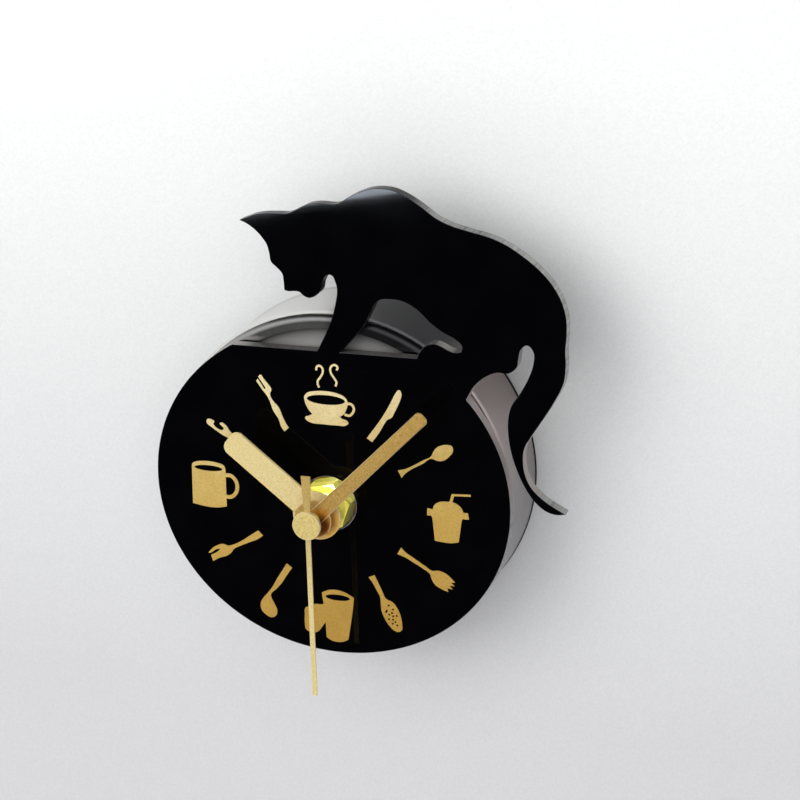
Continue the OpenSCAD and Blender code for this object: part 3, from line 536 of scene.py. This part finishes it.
def threaded_bush():
    """The brass bush with its real thread, chamfered ends and the bore that the pipes turn in, in mm."""
    low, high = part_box("shaft_bush")
    outer = (high.x - low.x) / 2 / MM
    back, front = -high.y / MM, -low.y / MM
    bore, pitch, depth = 2.6, 0.75, 0.34
    steps, rows_per_turn = 72, 12
    shape = bmesh.new()

    def ring(forward, radius_at):
        """A ring round the shaft, forward mm in front of the magnets' face."""
        turns = [2 * math.pi * j / steps for j in range(steps)]
        radii = [radius_at(j / steps) for j in range(steps)]
        return [shape.verts.new(Vector((r * math.cos(t), -forward, r * math.sin(t))) * MM + HUB)
                for r, t in zip(radii, turns)]

    def thread_radius(forward, share):
        """The thread's radius at share of a turn: flat crests and roots, and flanks between them."""
        phase = (forward / pitch + share) % 1
        cut = depth * min(1, max(0, 1.6 * abs(2 * phase - 1) - 0.3))
        taper = max(0, 0.5 - (front - forward)) + max(0, 0.4 - (forward - back))
        return min(outer - cut, outer - taper * 0.8)

    count = int((front - back) / pitch * rows_per_turn)
    rows = [back + (front - back) * k / count for k in range(count + 1)]
    rings = [ring(row, lambda share, row=row: thread_radius(row, share)) for row in rows]
    for forward, radius in ((front, bore + 0.25), (front - 0.3, bore), (back, bore)):
        rings.append(ring(forward, lambda share, radius=radius: radius))
    join_rings(shape, rings)
    new_piece(smooth_mesh("bush_thread", shape, 40), "clock", "nut_brass", ["shaft_bush"])


def wound_coil():
    """The winding drawn turn by turn, as enamelled wire on the former, along the X axis. Lengths in mm."""
    low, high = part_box("coil_winding")
    centre = (low + high) / 2
    length = (high.x - low.x) / MM
    outer = (high.z - low.z) / 2 / MM
    inner, turns, steps = 1.95, 42, 48
    wire = length / turns
    crown = wire * 0.45
    profile = [(inner, -length / 2)]
    for k in range(turns):
        for share in (0.0, 0.25, 0.5, 0.75):
            radius = outer - crown + crown * math.sin(math.pi * share)
            profile.append((radius, -length / 2 + wire * (k + share)))
    profile += [(outer - crown, length / 2), (inner, length / 2)]

    shape = bmesh.new()
    rows = []
    for k in range(steps):
        turn = 2 * math.pi * k / steps
        c, s = math.cos(turn), math.sin(turn)
        rows.append([shape.verts.new(Vector((along, r * c, r * s)) * MM + centre) for r, along in profile])
    join_rings(shape, rows)
    new_piece(smooth_mesh("coil_turns", shape, 35), "clock", "copper_wire", ["coil_winding"])


def soften_all():
    """Rounded edges on what is cut, pressed, turned or moulded; widths in mm."""
    softened("front_panel", "panel_cut", 0.12)
    pressed("hour_hand", "hour_hand_pressed", 0.16, FINISH["hand_gold"])
    pressed("minute_hand", "minute_hand_pressed", 0.22, MINUTE_GOLD)
    pressed("second_hand", "second_hand_pressed", 0.1, SECOND_GOLD)
    softened("second_cap", "second_cap_turned", 0.24, 3, finish=CAP_GOLD)
    softened("hex_nut", "hex_nut_turned", 0.12, 3)
    softened("dial_washer", "dial_washer_turned", 0.1, 3)
    softened("magnets", "magnets_plated", 0.3, 3)
    softened("back_plate", "back_plate_moulded", 0.25)
    softened("setting_knob", "setting_knob_moulded", 0.1)
    softened("movement_back", "movement_back_moulded", 0.2)
    softened("movement_front", "movement_front_moulded", 0.2)
    softened("case_screws", "case_screws_turned", 0.06)
    softened("battery", "battery_can", 0.35, 3)


# ---- stage ----

def put_on_stage(mesh, finish):
    """Puts a mesh in the scene as something round the object."""
    piece = bpy.data.objects.new(mesh.name, mesh)
    bpy.context.scene.collection.objects.link(piece)
    mesh.materials.append(finish)
    return piece


def flat_card(name, corners, finish):
    """A flat card with these corners, on the stage."""
    shape = bmesh.new()
    shape.faces.new([shape.verts.new(corner) for corner in corners])
    return put_on_stage(mesh_of(name, shape), finish)


def wall_paint():
    """Pale paint with a fine grain, and painted light: lighter higher up. It is clear from behind."""
    made, tree, shader = look("wall_paint", Roughness=0.45)
    grain = noise(tree, 0.5, 2, 0.6)
    _, _, z = parts(tree, "Object")
    # painted light: the paint is lighter higher up and darker lower down
    painted_light_rise = tones(tree, ramp(tree, z, -70, 100), (0.0, (0.66, 0.66, 0.67)), (0.45, (0.76, 0.77, 0.77)),
                 (1.0, (0.93, 0.94, 0.93)))
    fine = tones(tree, grain, (0.3, (0.93, 0.93, 0.935)), (0.7, WHITE))
    give(tree, shader, Base_Color=tinted(tree, painted_light_rise, fine))
    relief(tree, shader, grain, 0.05, 0.3)
    side = tree.nodes.new("ShaderNodeNewGeometry")
    clear = tree.nodes.new("ShaderNodeBsdfTransparent")
    choose = tree.nodes.new("ShaderNodeMixShader")
    tree.links.new(side.outputs["Backfacing"], choose.inputs["Fac"])
    tree.links.new(shader.outputs["BSDF"], choose.inputs[1])
    tree.links.new(clear.outputs["BSDF"], choose.inputs[2])
    tree.links.new(choose.outputs["Shader"], tree.nodes["Material Output"].inputs["Surface"])
    return made


def wall():
    """The pale surface that the clock hangs on, just behind the magnets' face. It has a hole behind the tin,
    and it is one-sided, so that the clock's back can be seen."""
    y, hole, half, steps = 0.2 * MM, 44 * MM, 4.0, 96
    shape = bmesh.new()
    inner, outer = [], []
    for k in range(steps):
        turn = 2 * math.pi * k / steps
        c, s = math.cos(turn), math.sin(turn)
        edge = half / max(abs(c), abs(s))
        inner.append(shape.verts.new((hole * c, y, hole * s)))
        outer.append(shape.verts.new((edge * c, y, edge * s)))
    for k in range(steps):
        n = (k + 1) % steps
        shape.faces.new((inner[k], outer[k], outer[n], inner[n]))
    for face in shape.faces:
        face.normal_update()
        if face.normal.y > 0:
            face.normal_flip()
    put_on_stage(mesh_of("wall", shape), wall_paint())


def floor():
    """A plain pale floor, well below the clock."""
    made, tree, shader = look("floor_paint", Roughness=0.6)
    tone = tones(tree, noise(tree, 40, 3), (0.3, (0.7, 0.7, 0.7)), (0.7, (0.76, 0.76, 0.76)))
    give(tree, shader, Base_Color=tone)
    side, front, back, z = 5, -6, 4, -0.6
    flat_card("floor", [(-side, front, z), (side, front, z), (side, back, z), (-side, back, z)], made)


def flag():
    """A dim card low on the left in front, which only reflections see: it keeps the polished face black. Its
    top edge rises to the right, as the sheen above it does."""
    made, tree, shader = look("flag_cloth", Roughness=0.9, Emission_Strength=1, Base_Color=(0, 0, 0, 1),
                              Specular_IOR_Level=0)
    cloth = tones(tree, noise(tree, 30), (0.3, (0.045, 0.045, 0.046)), (0.7, (0.062, 0.062, 0.063)))
    give(tree, shader, Emission_Color=cloth)
    y, left, right, low = -0.79, -0.8, 0.3, -0.585
    top_left, top_right = (-0.117 + SHEEN_SLOPE * (x + 0.26) for x in (left, right))
    corners = [(left, y, low), (right, y, low), (right, y, top_right), (left, y, top_left)]
    card = flat_card("flag", corners, made)
    card.visible_camera = False
    card.visible_diffuse = False
    card.visible_shadow = False


def area_light(name, spot, aim, size, power, colour=WHITE, gloss=True):
    """A round lamp at spot, aimed at aim; reflections see it if gloss is true."""
    data = bpy.data.lights.new(name, "AREA")
    data.shape = "DISK"
    data.size = size
    data.energy = power
    data.color = colour
    lamp = bpy.data.objects.new(name, data)
    lamp.location = spot
    lamp.rotation_mode = "QUATERNION"
    lamp.rotation_quaternion = (Vector(aim) - Vector(spot)).to_track_quat("-Z", "Y")
    lamp.visible_camera = False
    lamp.visible_glossy = gloss
    bpy.context.scene.collection.objects.link(lamp)
    return lamp


def shine_only_on(lamp, *names):
    """The lamp lights these pieces and nothing else."""
    lit = bpy.data.collections.new(lamp.name + "_on")
    for name in names:
        lit.objects.link(bpy.data.objects[name])
    lamp.light_linking.receiver_collection = lit


def lights():
    """A large soft key from the upper left, a wide fill, one light for the back of the clock, two that only
    the brass nut and bush receive, and one whose reflection lies along the top of the polished panel."""
    area_light("key", (-0.6, -1.02, 0.52), (0, 0, 0.01), 1.1, 6.0, (1.0, 0.985, 0.96), gloss=False)
    area_light("fill", (0.1, -2.2, 1.1), (0, 0, 0), 3.8, 53, (0.99, 0.99, 1.0), gloss=False)
    area_light("back", (-0.5, 1.0, 0.7), (0, 0, 0), 0.8, 12)
    spark = area_light("spark", (-0.05, -0.72, 0.56), HUB, 0.6, 13)
    glint = area_light("glint", (0.12, -0.72, 0.46), HUB, 0.2, 2.4)
    for lamp in (spark, glint):
        shine_only_on(lamp, "hex_nut_turned", "bush_thread")
    sheen = area_light("sheen", (-0.35, -0.8, -0.0495), (-0.35, 0, -0.0495), 0.5, 6.8, (0.8, 0.88, 1.0))
    sheen.data.shape = "RECTANGLE"
    sheen.data.size_y = 0.16
    sheen.rotation_quaternion = sheen.rotation_quaternion @ Quaternion((0, 0, 1), math.atan(SHEEN_SLOPE))
    shine_only_on(sheen, "panel_cut")


def studio():
    """A plain studio round the clock: dark below and overhead, with a bright band just above eye level."""
    world = bpy.data.worlds.new("studio")
    bpy.context.scene.world = world
    world.use_nodes = True
    tree = world.node_tree
    _, _, z = parts(tree, "Generated")
    sky = tones(tree, levels(tree, z, 0, 1, -1.0, 1.0), (0.0, (0.02, 0.02, 0.02)), (0.3, (0.05, 0.05, 0.051)),
                (0.4, (0.14, 0.14, 0.143)), (0.52, (0.75, 0.75, 0.77)), (0.68, (0.75, 0.75, 0.77)),
                (0.82, (0.05, 0.05, 0.052)), (1.0, (0.02, 0.02, 0.02)))
    give(tree, tree.nodes["Background"], Color=sky, Strength=0.6)


def camera():
    """The camera at the picture's viewing angle."""
    azimuth, elevation, roll = (math.radians(a) for a in (19.14, 18.75, -1.56))
    target = Vector((18.58 * MM, PANEL_FRONT, 25.24 * MM))
    distance = 466.93 * MM
    across = math.cos(elevation)
    back = Vector((math.sin(azimuth) * across, -math.cos(azimuth) * across, math.sin(elevation)))
    data = bpy.data.cameras.new("camera")
    data.lens = 90.44
    data.sensor_width = 36
    data.clip_start = 0.02
    cam = bpy.data.objects.new("camera", data)
    cam.location = target + back * distance
    cam.rotation_mode = "QUATERNION"
    cam.rotation_quaternion = (-back).to_track_quat("-Z", "Y") @ Quaternion((0, 0, 1), roll)
    bpy.context.scene.collection.objects.link(cam)
    bpy.context.scene.camera = cam


camera()
dress_nodes()
soften_all()
threaded_bush()
wound_coil()
wall()
floor()
flag()
lights()
studio()
bpy.context.scene.view_settings.view_transform = "Standard"

bpy.context.view_layer.update()
